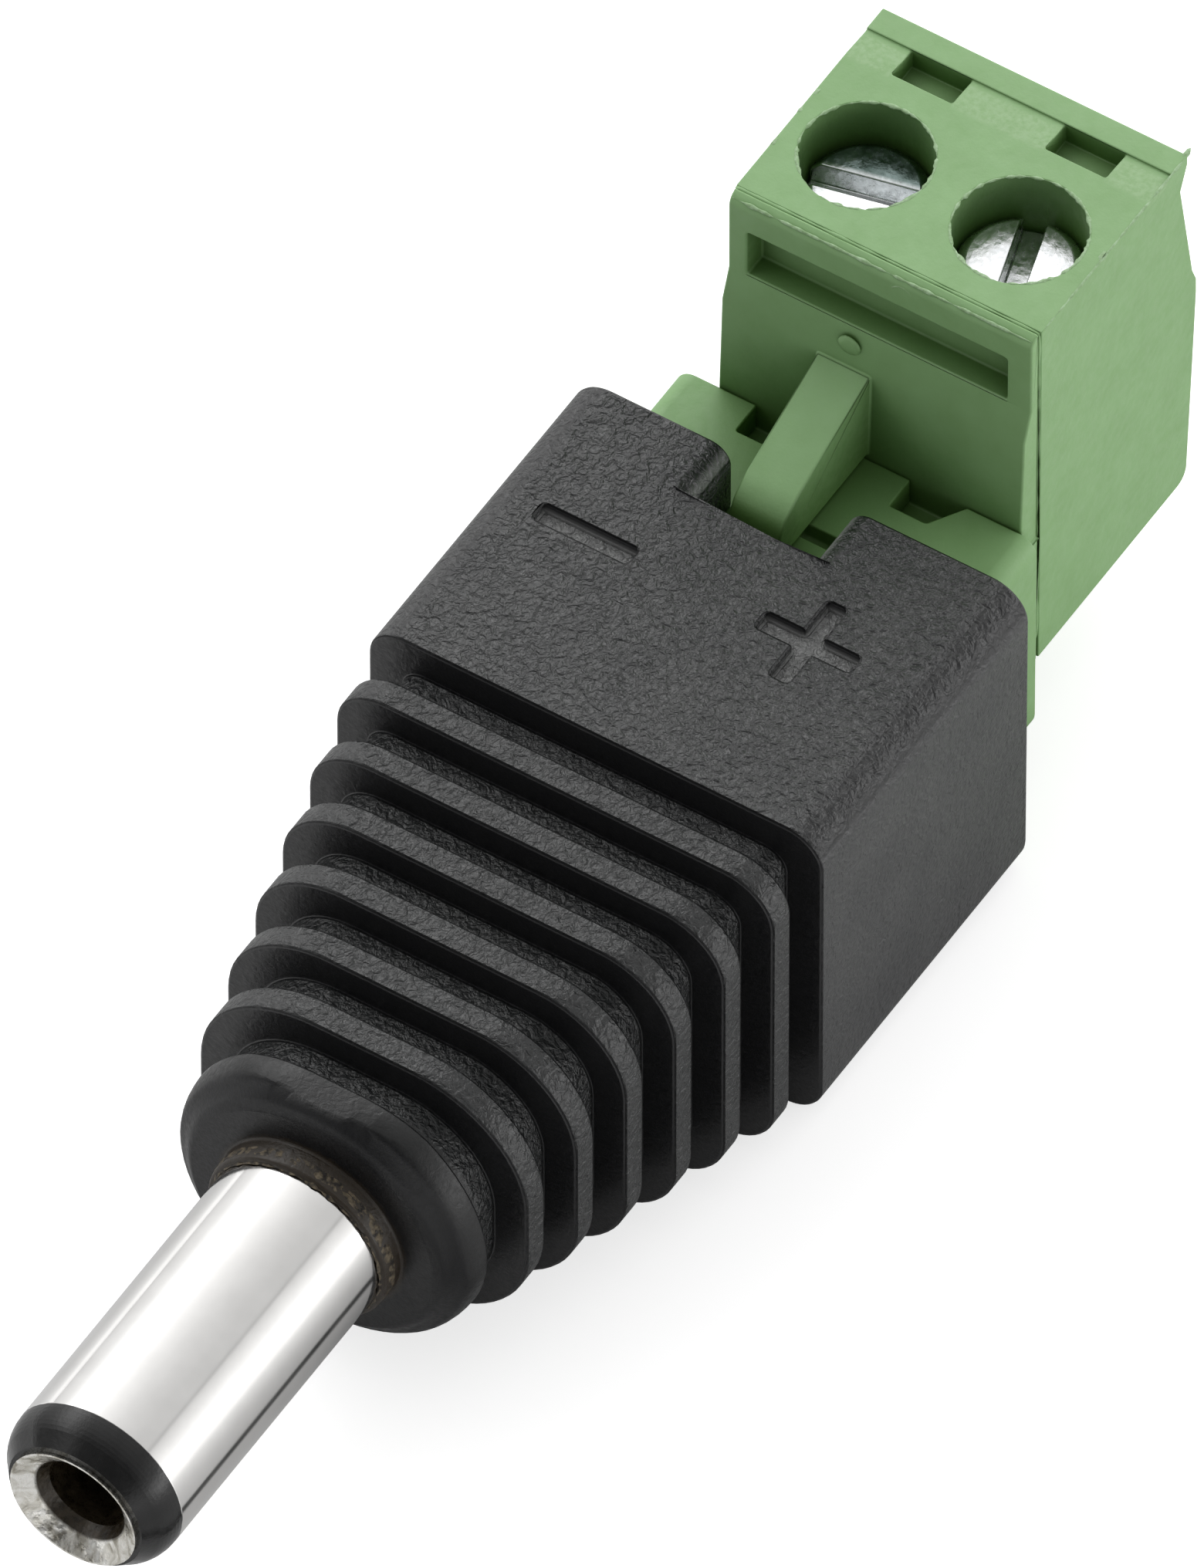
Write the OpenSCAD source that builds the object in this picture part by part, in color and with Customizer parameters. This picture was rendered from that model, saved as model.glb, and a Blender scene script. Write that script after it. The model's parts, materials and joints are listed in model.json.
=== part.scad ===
// DC barrel plug in a moulded, ribbed boot with a two-pole pluggable screw terminal.
// X runs along the barrel with the tip at -X, Z is up, and the origin is the point on the
// barrel axis where the bright sleeve leaves the boot.

/* [Barrel] */
// Outside diameter of the nickel sleeve
barrel_od = 5.5; // [5:0.1:5.7]
// Wall of the sleeve
sleeve_wall = 0.4; // [0.3:0.05:0.5]
// Length of sleeve in front of the boot
sleeve_length = 10.1; // [8:0.1:12]
// Length of sleeve inside the boot
sleeve_root = 6; // [5:0.1:6.5]
// Outside diameter of the sleeve inside the boot
root_od = 5.1; // [5:0.05:5.2]
// Diameter of the centre bore
bore_diameter = 2.5; // [2.1:0.1:2.5]
// Depth of the centre bore from the tip
bore_depth = 9.6; // [7:0.1:11]
// Wall of the centre contact tube
contact_wall = 0.4; // [0.25:0.05:0.45]
// Length of the black insulating ring at the tip
tip_ring_length = 1.2; // [0.9:0.05:1.6]
// Outside diameter of the flared rim of the centre contact
flare_od = 4.12; // [3.9:0.02:4.4]
// Depth of the funnel behind the flared rim
flare_depth = 0.4; // [0.35:0.05:0.6]
// How far the flared rim stands in front of the insulating ring
flare_stand = 0.14; // [0.08:0.02:0.25]

/* [Boot] */
// Half of the width of the box behind the ribs
box_half_w = 7.5; // [7:0.05:8.5]
// Height of the box top above the barrel axis
box_top = 6.14; // [5.9:0.02:7]
// Depth of the box bottom below the barrel axis
box_bottom = 5.87; // [5.6:0.01:7]
// Where the front face of the box stands
box_front = 15.5; // [15.2:0.05:16.5]
// Where the rear face of the box stands
box_rear = 26.33; // [25.5:0.01:27]
// Radius of the long edges of the box
box_radius = 1.2; // [0.6:0.05:2]
// Number of ribs on the strain relief
rib_count = 6; // [3:1:6]
// Distance from one rib to the next
rib_pitch = 1.98; // [1.7:0.02:2]
// Width of the crest of a rib
rib_width = 0.92; // [0.6:0.02:1.1]
// Gap between the box and the first rib
first_groove = 1.2; // [0.8:0.05:1.4]
// Depth of the grooves between the ribs
groove_depth = 0.92; // [0.5:0.02:1.1]
// Half of the width of the first rib
shoulder_half_w = 7.23; // [6.6:0.01:7.4]
// Height of the first rib above the axis
shoulder_top = 5.93; // [5.5:0.01:6.1]
// Depth of the first rib below the axis
shoulder_bottom = 5.42; // [5:0.01:5.6]
// Corner radius of the first rib
shoulder_radius = 1.65; // [1.2:0.05:2]
// Half of the width of the nose
nose_half_w = 5.05; // [4.7:0.05:5.4]
// Height of the nose above the axis
nose_top = 4.5; // [4.3:0.02:4.8]
// Depth of the nose below the axis
nose_bottom = 4.62; // [4.3:0.02:4.8]
// Corner radius of the nose
nose_radius = 4.2; // [3.6:0.05:4.25]
// Where the rear edge of the nose stands
nose_rear = 2.27; // [2:0.01:2.4]
// Length of the rough lip round the root of the sleeve
lip_length = 0.82; // [0.4:0.02:1]
// Wall of that lip
lip_wall = 0.2; // [0.1:0.02:0.4]
// Radius of the flat end face of the nose
end_face_radius = 3.97; // [3.8:0.01:4.2]
// Radius of the nose where its front cone ends
cone_radius = 4.6; // [4.4:0.02:4.7]
// Length of that cone along the barrel axis
cone_length = 0.51; // [0.3:0.01:0.7]
// Radius that the nose reaches at its rear edge
nose_rear_radius = 4.92; // [4.8:0.01:5]
// Depth of the sunk plus and minus signs
sign_depth = 0.3; // [0.1:0.02:0.5]
// Width of the strokes of the signs
sign_stroke = 0.6; // [0.4:0.05:1]
// Length of the strokes of the signs
sign_length = 3.1; // [2:0.1:3.6]
// Distance of each sign from the middle between them
sign_offset = 3.68; // [3.2:0.02:4.2]

/* [Header] */
// Distance from one pole to the next
pole_pitch = 5.08; // [5.04:0.02:5.14]
// Half of the width of the header on its thin-walled side
header_right = 5.6; // [5.5:0.02:5.8]
// Half of the width of the header on its thick-walled side
header_left = 6.32; // [5.9:0.02:6.6]
// Height of the header top above the barrel axis
header_top = 3.67; // [3.4:0.01:4]
// Depth of the header bottom below the barrel axis
header_bottom = 4.5; // [3.8:0.05:4.8]
// Edge radius of the header
header_radius = 0.6; // [0.3:0.05:0.8]
// How far the header stands out behind the boot
header_out = 3.47; // [3:0.01:4]
// Depth of the socket in the header
socket_depth = 8; // [7.6:0.1:8.6]
// Thickness of the header floor that holds the pins
header_floor = 1.8; // [1.4:0.1:2.2]
// Thickness of the square pins
pin_size = 1; // [0.8:0.05:1.1]
// Length of pin that stands in the socket
pin_reach = 6.2; // [5:0.1:6.6]
// Length of pin tail inside the boot
pin_tail = 4; // [3:0.1:5]
// Height of the pins above the barrel axis
pin_z = 0.3; // [0:0.05:0.5]
// Depth of the cut-outs in the rear edge of the header top
cutout_depth = 1.1; // [0.6:0.05:1.5]

/* [Terminal plug] */
// Half of the width of the terminal plug
plug_half_w = 5.05; // [5:0.01:5.1]
// Height of the plug top above the barrel axis
plug_top = 11.42; // [10.8:0.02:12.5]
// Depth of the plug bottom below the barrel axis
plug_bottom = 2.8; // [2.6:0.05:2.85]
// Length of the plug behind the joint between its two mouldings
housing_length = 7.7; // [7.2:0.05:8.5]
// Thickness of the front moulding behind the marker face
plate_top = 0.46; // [0.35:0.02:0.6]
// Thickness of the front moulding at the header
plate_foot = 0.95; // [0.8:0.05:1.2]
// Height of the step on the front face above the barrel axis
step_z = 8.35; // [7.9:0.05:8.6]
// Radius of the top front edge
brow_radius = 0.4; // [0.2:0.05:0.45]
// Length of the marker groove
marker_length = 8.6; // [7:0.1:9.2]
// Height of the marker groove
marker_height = 1.83; // [1.2:0.01:2]
// Depth of the marker groove
marker_depth = 0.8; // [0.6:0.05:0.9]
// Distance of the groove's middle from the middle of the plug
marker_offset = 0.1; // [0:0.05:0.2]
// Width of the joint groove between the two mouldings
seam_width = 0.08; // [0.05:0.01:0.12]
// Depth of the joint groove
seam_depth = 0.1; // [0.05:0.01:0.15]
// Width of the guide fin
fin_width = 1.75; // [1.2:0.05:2]
// Distance of the fin's middle from the middle of the plug
fin_offset = 0.93; // [0.5:0.01:1.1]
// Length of the guide fin
fin_length = 4.6; // [4:0.05:5]
// Depth of the notch in the boot that takes the fin
notch_depth = 2.1; // [1.6:0.05:2.6]
// Width of that notch
notch_width = 3.95; // [3:0.05:4.4]

/* [Screw clamps] */
// Distance of the screws from the joint between the two mouldings
screw_x = 2.86; // [2.7:0.02:3]
// Diameter of the screw wells
well_diameter = 3.95; // [3.85:0.01:4]
// Depth of the screw heads below the top of the plug
head_sink = 1.4; // [1.2:0.05:2.6]
// Diameter of the screw heads
head_diameter = 3.7; // [3.2:0.05:3.72]
// Height of the screw heads
head_height = 1.6; // [1.2:0.05:1.8]
// Width of the driver slots
slot_width = 0.75; // [0.4:0.05:0.9]
// Depth of the driver slots
slot_depth = 0.8; // [0.5:0.05:0.9]
// Diameter of the screw thread
thread_diameter = 2.4; // [2:0.1:2.6]
// Width of the clamp cages
cage_width = 3.7; // [3.5:0.05:3.72]
// Length of the clamp cages along the wire
cage_length = 3.5; // [3:0.05:3.6]
// Wall of the clamp cages
cage_wall = 0.5; // [0.4:0.02:0.5]
// Thickness of the threaded bar of a cage
cage_bar = 1.5; // [1.2:0.05:1.6]
// Height that a cage rises when its screw is driven home
cage_travel = 2.5; // [2:0.1:2.6]
// Diameter of the wire entries
wire_diameter = 2.8; // [2:0.1:2.8]
// Width of the blind pockets behind the screws
pocket_width = 2; // [1.4:0.1:2.4]
// Length of the blind pockets
pocket_length = 1.07; // [0.8:0.01:1.1]
// Depth of the blind pockets
pocket_depth = 0.75; // [0.5:0.05:3]

/* [Fits] */
// Gap all round the plug's nose in the header
nose_gap = 0.12; // [0.08:0.01:0.2]
// Gap between the plug and the rear edge of the header
stop_gap = 0.05; // [0.03:0.01:0.1]
// Gap round the boss of the front moulding in the rear one
boss_gap = 0.04; // [0.02:0.01:0.08]
// Gap between a pin and the spring leaves
leaf_gap = 0.02; // [0.01:0.005:0.05]
// Gap round the screw thread in its cage
thread_gap = 0.05; // [0.03:0.01:0.08]
// Gap between moving metal parts and what they slide along
slide_gap = 0.1; // [0.05:0.01:0.12]

/* [Hidden] */
$fn = 48;

cut = 1; // how far a cutting shape runs past the face that it cuts
minus_y = pole_pitch / 2;
plus_y = -pole_pitch / 2;

// Barrel radii, from the bore outwards
bore_r = bore_diameter / 2;
contact_r = bore_r + contact_wall;
sleeve_inner_r = barrel_od / 2 - sleeve_wall;
sleeve_r = barrel_od / 2;
root_r = root_od / 2;
flare_r = flare_od / 2;
ring_bulge = 0.75; // radial half axis of the insulating ring's outer curve
ring_reach = 1.1; // half axis of that curve along X
ring_face = 0.13; // width of the insulating ring's front face round the flare
tip_front = -sleeve_length - tip_ring_length;
contact_front = tip_front - flare_stand;
flare_lip = 0.07; // thickness of the rim of the flare
flange_r = sleeve_r + 0.85; // collar that locks the sleeve in the boot
flange_x = 2.9;
flange_length = 0.8;
bush_length = 0.8;
bush_hole_r = contact_r;
solder_pin_r = 0.9;
solder_pin_end = 9.6;
lug_thickness = 0.5;
lug_x = sleeve_root - 1.2;
lug_r = sleeve_r + 0.95;
lug_width = 1.6;
lug_tail_end = 9.2;
lead_width = 1.1;
lug_tail_y = sleeve_r + 0.55;
lead_bend_start = 10.6;
lead_bend_end = 12.8;

// Boot stations
nose_front = lip_length;
last_station = rib_count;
first_rib_rear = box_front - first_groove;
function station_x(i) = first_rib_rear - i * rib_pitch;
function blend(i, first, last) = first + (last - first) * i / last_station;
function half_w_at(i) = blend(i, shoulder_half_w, nose_half_w);
function top_at(i) = blend(i, shoulder_top, nose_top);
function bottom_at(i) = blend(i, shoulder_bottom, nose_bottom);
function radius_at(i) = blend(i, shoulder_radius, nose_radius);
sign_x = box_rear - 4.8;
sign_middle = 0.47;
groove_end = nose_rear - 0.3; // where the floor of the last groove runs into the nose

// Header and plug stations along X
header_rear = box_rear + header_out;
header_front = header_rear - socket_depth - header_floor;
socket_floor = header_rear - socket_depth;
plug_foot = header_rear + stop_gap;
seam_x = plug_foot + plate_foot;
marker_face = seam_x - plate_top;
boss_wall = 0.3; // wall behind and round the marker groove
boss_back = marker_face + marker_depth + boss_wall;
boss_y = [marker_offset - marker_length / 2 - boss_wall + 0.05,
    marker_offset + marker_length / 2 + boss_wall - 0.05];
boss_z = [step_z - boss_wall + 0.05, step_z + marker_height + boss_wall];
plug_nose_front = socket_floor + 0.5;
plug_nose_top = 2.6;
nose_wall = 0.6;
pin_end = socket_floor + pin_reach;
pin_start = header_front - pin_tail;
pin_r = pin_size / 2;
pin_taper = 0.9;
left_cutout = [2.6, 3.7]; // sides of the cut-outs at their front corners
right_cutout = [-2.6, -1.39];
cutout_slant = 0.68; // how far the outer side of the right one leans out to the rear
relief_x = [box_rear + 0.07, box_rear + 0.57]; // shallow relief beside the fin
relief_y = [-0.8, 0.3];
relief_depth = 0.5;

// Screw clamp levels
axis_x = seam_x + screw_x;
head_top = plug_top - head_sink;
head_bottom = head_top - head_height;
bar_half_w = cage_width / 2 - cage_wall - slide_gap - 0.05;
bar_top = 2.8; // top of the current bar
bar_thickness = 0.8;
cage_bar_bottom = bar_top + 0.05;
cage_top = cage_bar_bottom + cage_bar;
clamp_gap = 2.9; // opening between the current bar and the foot of an open cage
cage_foot_top = bar_top - bar_thickness - clamp_gap;
cage_foot = 0.7;
cage_bottom = cage_foot_top - cage_foot;
screw_tip = bar_top + 0.05;
chamber_top = head_bottom - 0.15;
chamber_half_w = cage_width / 2 + slide_gap;
chamber_rear = axis_x + cage_length / 2 + slide_gap + 0.05;
chamber_bottom = cage_bottom - 0.15;
wire_z = bar_top - bar_thickness - clamp_gap / 2;
wire_r = wire_diameter / 2;
pocket_x = seam_x + 6.3;
bar_rear = axis_x + cage_length / 2 + 0.05;

// Box between two corners
module span(x, y, z)
    translate([x[0], y[0], z[0]]) cube([x[1] - x[0], y[1] - y[0], z[1] - z[0]]);

// Rod along X
module rod_x(x0, x1, r)
    translate([x0, 0, 0]) rotate([0, 90, 0]) cylinder(h = x1 - x0, r = r);

// Solid turned about X from [radius, x] points
module turned(points)
    rotate([0, 90, 0]) rotate_extrude() polygon(points);

// Side profile of [x, z] points, as wide as y0 to y1
module side_profile(points, y0, y1)
    translate([0, y1, 0]) rotate([90, 0, 0]) linear_extrude(y1 - y0) polygon(points);

// Section across X, a rectangle with rounded corners, between y0, y1 and z0, z1
module rounded_bar(x, y, z, r)
    translate([x[0], 0, 0]) rotate([90, 0, 90]) linear_extrude(x[1] - x[0]) {
        translate([y[0] + r, z[0]]) square([y[1] - y[0] - 2 * r, z[1] - z[0]]);
        translate([y[0], z[0] + r]) square([y[1] - y[0], z[1] - z[0] - 2 * r]);
        for (cy = [y[0] + r, y[1] - r], cz = [z[0] + r, z[1] - r])
            translate([cy, cz]) circle(r);
    }

// Square-section lead along a path of [x, y] points, centred on height z
module lead(path, z) translate([0, 0, z - lead_width / 2]) linear_extrude(lead_width)
    polygon(concat([for (p = path) [p[0], p[1] - lead_width / 2]],
        [for (i = [len(path) - 1:-1:0]) [path[i][0], path[i][1] + lead_width / 2]]));

// Points of an arc of an ellipse
function arc(cx, cy, rx, ry, a0, a1, steps) =
    [for (i = [0:steps]) let (a = a0 + (a1 - a0) * i / steps) [cx + rx * cos(a), cy + ry * sin(a)]];

// ---------- barrel ----------

module barrel_sleeve() color([0.86, 0.86, 0.84]) difference() {
    union() {
        rod_x(-sleeve_length, 0, sleeve_r);
        rod_x(-cut, sleeve_root, root_r);
        rod_x(flange_x, flange_x + flange_length, flange_r);
    }
    rod_x(-sleeve_length - cut, sleeve_root + cut, sleeve_inner_r);
}

module tip_insulator() color([0.13, 0.13, 0.14]) turned(concat(
    [[contact_r, sleeve_root], [sleeve_inner_r, sleeve_root], [sleeve_inner_r, -sleeve_length]],
    arc(sleeve_r - ring_bulge, -sleeve_length, ring_bulge, ring_reach, 0, -45, 6),
    [[flare_r + ring_face, tip_front], [flare_r - 0.04, tip_front],
        [contact_r, tip_front + flare_depth]]));

module center_contact() color([0.80, 0.78, 0.72]) {
    difference() {
        turned([[0, sleeve_root + bush_length], [contact_r, sleeve_root + bush_length],
            [contact_r, tip_front + flare_depth], [flare_r - 0.04, tip_front],
            [flare_r, contact_front], [0, contact_front]]);
        rod_x(contact_front - cut, contact_front + bore_depth, bore_r);
        turned([[0, contact_front - cut], [flare_r - flare_lip, contact_front - cut],
            [flare_r - flare_lip, contact_front], [bore_r + 0.2, contact_front + flare_depth],
            [bore_r, contact_front + flare_depth + 0.35], [0, contact_front + flare_depth + 0.35]]);
    }
    rod_x(sleeve_root + bush_length, solder_pin_end, solder_pin_r);
}

module rear_bush() color([0.85, 0.83, 0.76]) difference() {
    rod_x(sleeve_root, sleeve_root + bush_length, root_r);
    rod_x(sleeve_root - cut, sleeve_root + bush_length + cut, bush_hole_r);
}

module sleeve_lug() color([0.80, 0.78, 0.70]) difference() {
    union() {
        rod_x(lug_x, lug_x + lug_thickness, lug_r);
        span([lug_x, lug_tail_end], [lug_tail_y - 0.4, lug_tail_y + 0.4],
            [pin_z - lug_width / 2, pin_z + lug_width / 2]);
    }
    rod_x(lug_x - cut, lug_x + lug_thickness + cut, root_r);
}

// ---------- leads inside the boot ----------

module minus_lead() color([0.15, 0.15, 0.15])
    lead([[lug_tail_end, lug_tail_y], [lug_tail_end + 1, lug_tail_y],
        [pin_start - 0.8, minus_y], [pin_start, minus_y]], pin_z);

module plus_lead() color([0.75, 0.12, 0.10])
    lead([[solder_pin_end, 0], [lead_bend_start, 0], [lead_bend_end, plus_y],
        [pin_start, plus_y]], pin_z);

// ---------- boot ----------

// Slice of the boot with the section of station i, made smaller all round by inset
module slice(i, x, inset)
    rounded_bar(x, [-half_w_at(i) + inset, half_w_at(i) - inset],
        [-bottom_at(i) + inset, top_at(i) - inset], radius_at(i) - inset);

module ribs() for (i = [0:rib_count - 1]) {
    rear = station_x(i);
    slice(i, [rear - rib_width, rear], 0);
    floor_front = i < rib_count - 1 ? rear - rib_pitch - rib_width / 2 : groove_end;
    slice(i + 0.5, [floor_front, rear - rib_width / 2], groove_depth);
}

module nose() intersection() {
    slice(last_station, [nose_front, nose_rear], 0);
    turned(concat([[0, nose_front], [end_face_radius, nose_front]],
        arc(cone_radius, nose_rear, nose_rear_radius - cone_radius,
            nose_rear - nose_front - cone_length, -90, 0, 6),
        [[nose_rear_radius, nose_rear + cut], [0, nose_rear + cut]]));
}

module lip() rod_x(0, nose_front + cut, sleeve_r + lip_wall);

// Stroke of a sign sunk in the box top, with its length along X or along Y
module stroke(y, along_x) {
    half_x = (along_x ? sign_length : sign_stroke) / 2;
    half_y = (along_x ? sign_stroke : sign_length) / 2;
    span([sign_x - half_x, sign_x + half_x],
        [sign_middle + y - half_y, sign_middle + y + half_y],
        [box_top - sign_depth, box_top + cut]);
}

// Notch for the fin, with rounded upper edges
module fin_notch() {
    y0 = fin_offset - 0.58 - notch_width / 2;
    y1 = y0 + notch_width;
    edge = 0.7;
    span([box_rear - notch_depth, box_rear + cut], [y0, y1], [header_top, box_top + cut]);
    difference() {
        span([box_rear - notch_depth, box_rear + cut], [y0 - edge, y1 + edge],
            [box_top - edge, box_top + cut]);
        for (y = [y0 - edge, y1 + edge])
            translate([0, y, box_top - edge])
                rod_x(box_rear - notch_depth - cut, box_rear + 2 * cut, edge);
    }
}

module boot() color([0.19, 0.19, 0.20]) difference() {
    union() {
        rounded_bar([box_front, box_rear], [-box_half_w, box_half_w], [-box_bottom, box_top],
            box_radius);
        slice(0, [first_rib_rear - rib_width / 2, box_front + cut], groove_depth);
        ribs();
        nose();
        lip();
    }
    stroke(sign_offset, false);
    stroke(-sign_offset, false);
    stroke(-sign_offset, true);
    fin_notch();
    header_shell();
    rod_x(-cut, sleeve_root + bush_length, root_r);
    rod_x(flange_x, flange_x + flange_length, flange_r);
    rod_x(sleeve_root, solder_pin_end, solder_pin_r);
    sleeve_lug();
    minus_lead();
    plus_lead();
    pin_blank(minus_y);
    pin_blank(plus_y);
}

// ---------- header ----------

module header_shell() rounded_bar([header_front, header_rear], [-header_right, header_left],
    [-header_bottom, header_top], header_radius);

// Cut-out in the rear edge of the header top; slant leans its outer side out to the rear
module cutout(y, slant) translate([0, 0, plug_nose_top]) linear_extrude(header_top)
    polygon([[header_rear - cutout_depth, y[1]], [header_rear - cutout_depth, y[0]],
        [header_rear, y[0] - slant], [header_rear + cut, y[0] - slant],
        [header_rear + cut, y[1]]]);

module pin_header() color([0.50, 0.66, 0.44]) difference() {
    header_shell();
    span([socket_floor, header_rear + cut], [-plug_half_w - nose_gap, plug_half_w + nose_gap],
        [-plug_bottom - nose_gap, plug_nose_top + nose_gap]);
    cutout(left_cutout, 0);
    cutout(right_cutout, cutout_slant);
    span(relief_x, relief_y, [header_top - relief_depth, header_top + cut]);
    pin_blank(minus_y);
    pin_blank(plus_y);
}

// Square pin with a tapered tip
module pin_blank(y) translate([0, y, pin_z]) intersection() {
    taper = [[pin_start, -pin_r], [pin_end - pin_taper, -pin_r], [pin_end, -pin_r / 3],
        [pin_end, pin_r / 3], [pin_end - pin_taper, pin_r], [pin_start, pin_r]];
    side_profile(taper, -pin_r, pin_r);
    translate([0, 0, -pin_r]) linear_extrude(pin_size) polygon(taper);
}

module minus_pin() color([0.85, 0.83, 0.75]) pin_blank(minus_y);
module plus_pin() color([0.85, 0.83, 0.75]) pin_blank(plus_y);

// ---------- terminal plug mouldings ----------

module fin() side_profile([[plug_foot + 0.2, header_top + nose_gap],
    [plug_foot + 0.2, 7.05], [plug_foot + 0.1, 7.05], [plug_foot - fin_length + 0.95, 5.65],
    [plug_foot - fin_length + 0.3, 5.2], [plug_foot - fin_length, 4.7],
    [plug_foot - fin_length, header_top + nose_gap]],
    fin_offset - fin_width / 2, fin_offset + fin_width / 2);

// Chamber round one spring contact, with its pin entry
module contact_chamber(y) {
    half_w = 0.95;
    half_h = 1.5;
    web_top = bar_top + slide_gap;
    span([plug_nose_front + nose_wall, seam_x + cut], [y - half_w, y + half_w],
        [pin_z - half_h, pin_z + half_h]);
    span([plug_foot + 0.35, seam_x + cut], [y - bar_half_w - slide_gap, y + bar_half_w + slide_gap],
        [pin_z - half_h, web_top]);
    span([plug_nose_front - cut, plug_nose_front + nose_wall + cut], [y - 0.75, y + 0.75],
        [pin_z - 0.75, pin_z + 0.75]);
}

module plug_front() color([0.50, 0.66, 0.44]) difference() {
    union() {
        side_profile(concat(
            [[seam_x, -plug_bottom], [seam_x, plug_top]],
            arc(marker_face + brow_radius, plug_top - brow_radius, brow_radius, brow_radius, 90, 180, 6),
            [[marker_face, step_z], [plug_foot + 0.14, step_z - 1.05], [plug_foot, header_top],
            [plug_foot, -plug_bottom]]), -plug_half_w + 0.03, plug_half_w - 0.03);
        span([plug_nose_front, seam_x], [-plug_half_w, plug_half_w], [-plug_bottom, plug_nose_top]);
        fin();
        span([seam_x - seam_width, boss_back], boss_y, boss_z);
    }
    span([marker_face - cut, marker_face + marker_depth],
        [marker_offset - marker_length / 2, marker_offset + marker_length / 2],
        [step_z + 0.05, step_z + marker_height]);
    difference() {
        span([seam_x - seam_width, seam_x + cut], [-plug_half_w - cut, plug_half_w + cut],
            [-plug_bottom - cut, plug_top + cut]);
        span([seam_x - cut, seam_x + 2 * cut], [seam_depth - plug_half_w, plug_half_w - seam_depth],
            [seam_depth - plug_bottom, plug_top - seam_depth]);
    }
    contact_chamber(minus_y);
    contact_chamber(plus_y);
}

// Room for one clamp: well, cage chamber, wire entry and blind pocket
module clamp_room(y) {
    rear_face = seam_x + housing_length + cut;
    translate([axis_x, y, chamber_top - cut])
        cylinder(h = plug_top - chamber_top + 2 * cut, r = well_diameter / 2);
    span([seam_x - cut, chamber_rear], [y - chamber_half_w, y + chamber_half_w],
        [chamber_bottom, chamber_top]);
    translate([0, y, wire_z]) rod_x(chamber_rear - 0.1, rear_face + cut, wire_r);
    translate([rear_face - 1.35, y, wire_z]) rotate([0, 90, 0])
        cylinder(h = 1.35, r1 = wire_r, r2 = wire_r + 1.35 * 0.6);
    span([pocket_x - pocket_length / 2, pocket_x + pocket_length / 2],
        [y - pocket_width / 2, y + pocket_width / 2], [plug_top - pocket_depth, plug_top + cut]);
}

module plug_housing() color([0.50, 0.66, 0.44]) difference() {
    rear = seam_x + housing_length;
    step_x = pocket_x + pocket_length / 2;
    side_profile(concat(
        [[seam_x, plug_top], [seam_x, -plug_bottom]],
        arc(rear - 0.32, -plug_bottom + 0.5, 0.5, 0.5, -90, 0, 6),
        [[rear + 0.42, 2], [rear + 0.57, 4.9], [rear + 0.56, 5.5], [rear + 0.35, 6.05],
        [rear - 0.35, plug_top - 1.25], [rear, plug_top - 0.4], [rear, plug_top]]),
        -plug_half_w, plug_half_w);
    side_profile([[step_x - 1.15, plug_top + 0.01], [step_x, plug_top - 0.08],
        [step_x, plug_top + cut], [step_x - 1.15, plug_top + cut]],
        -plug_half_w - cut, plug_half_w + cut);
    span([seam_x - cut, boss_back + boss_gap], [boss_y[0] - boss_gap, boss_y[1] + boss_gap],
        [boss_z[0] - boss_gap, boss_z[1] + boss_gap]);
    clamp_room(minus_y);
    clamp_room(plus_y);
}

// ---------- clamp metal ----------

// Upper spring leaf, pinching down to the pin at its waist
function leaf(side) = let (pinch = pin_r + leaf_gap, t = 0.3) [for (p = [
    [plug_foot + 0.6, 1.4], [plug_foot + 0.6, 1.1], [plug_nose_front + 2.4, pinch],
    [plug_nose_front + 1.9, pinch], [plug_nose_front + 0.9, pinch + 0.35],
    [plug_nose_front + 0.9, pinch + 0.35 + t], [plug_nose_front + 1.9, pinch + t],
    [plug_nose_front + 2.4, pinch + t]]) [p[0], pin_z + side * p[1]]];

module socket_contact(y) color([0.83, 0.80, 0.70]) {
    leaf_half_w = 0.8;
    web = [plug_foot + 0.4, plug_foot + 0.8];
    side_profile(leaf(1), y - leaf_half_w, y + leaf_half_w);
    side_profile(leaf(-1), y - leaf_half_w, y + leaf_half_w);
    span(web, [y - leaf_half_w, y + leaf_half_w], [pin_z - 1.4, bar_top]);
    span([web[0], bar_rear], [y - bar_half_w, y + bar_half_w], [bar_top - bar_thickness, bar_top]);
}

module minus_socket() socket_contact(minus_y);
module plus_socket() socket_contact(plus_y);

// Rising cage with its threaded bar at the top and the wire foot at the bottom
module cage(y) color([0.78, 0.76, 0.70]) {
    x = [axis_x - cage_length / 2, axis_x + cage_length / 2];
    difference() {
        span(x, [y - cage_width / 2, y + cage_width / 2], [cage_bottom, cage_top]);
        span([x[0] - cut, x[1] + cut], [y - cage_width / 2 + cage_wall, y + cage_width / 2 - cage_wall],
            [cage_foot_top, cage_bar_bottom]);
        translate([axis_x, y, cage_bar_bottom - cut])
            cylinder(h = cage_bar + 2 * cut, r = thread_diameter / 2 + thread_gap);
    }
}

module minus_cage() cage(minus_y);
module plus_cage() cage(plus_y);

// Slotted clamp screw; turn sets the angle of its slot about Z
module clamp_screw(y, turn) color([0.72, 0.72, 0.70]) translate([axis_x, y, 0]) difference() {
    bevel = 0.3;
    r = head_diameter / 2;
    rotate_extrude() polygon([[0, screw_tip], [thread_diameter / 2 - 0.25, screw_tip],
        [thread_diameter / 2, screw_tip + 0.25], [thread_diameter / 2, head_bottom],
        [r, head_bottom], [r, head_top - bevel], [r - bevel, head_top], [0, head_top]]);
    rotate([0, 0, turn]) translate([-r - cut, -slot_width / 2, head_top - slot_depth])
        cube([2 * (r + cut), slot_width, slot_depth + cut]);
}

module minus_screw() clamp_screw(minus_y, 103);
module plus_screw() clamp_screw(plus_y, 17);

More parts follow.
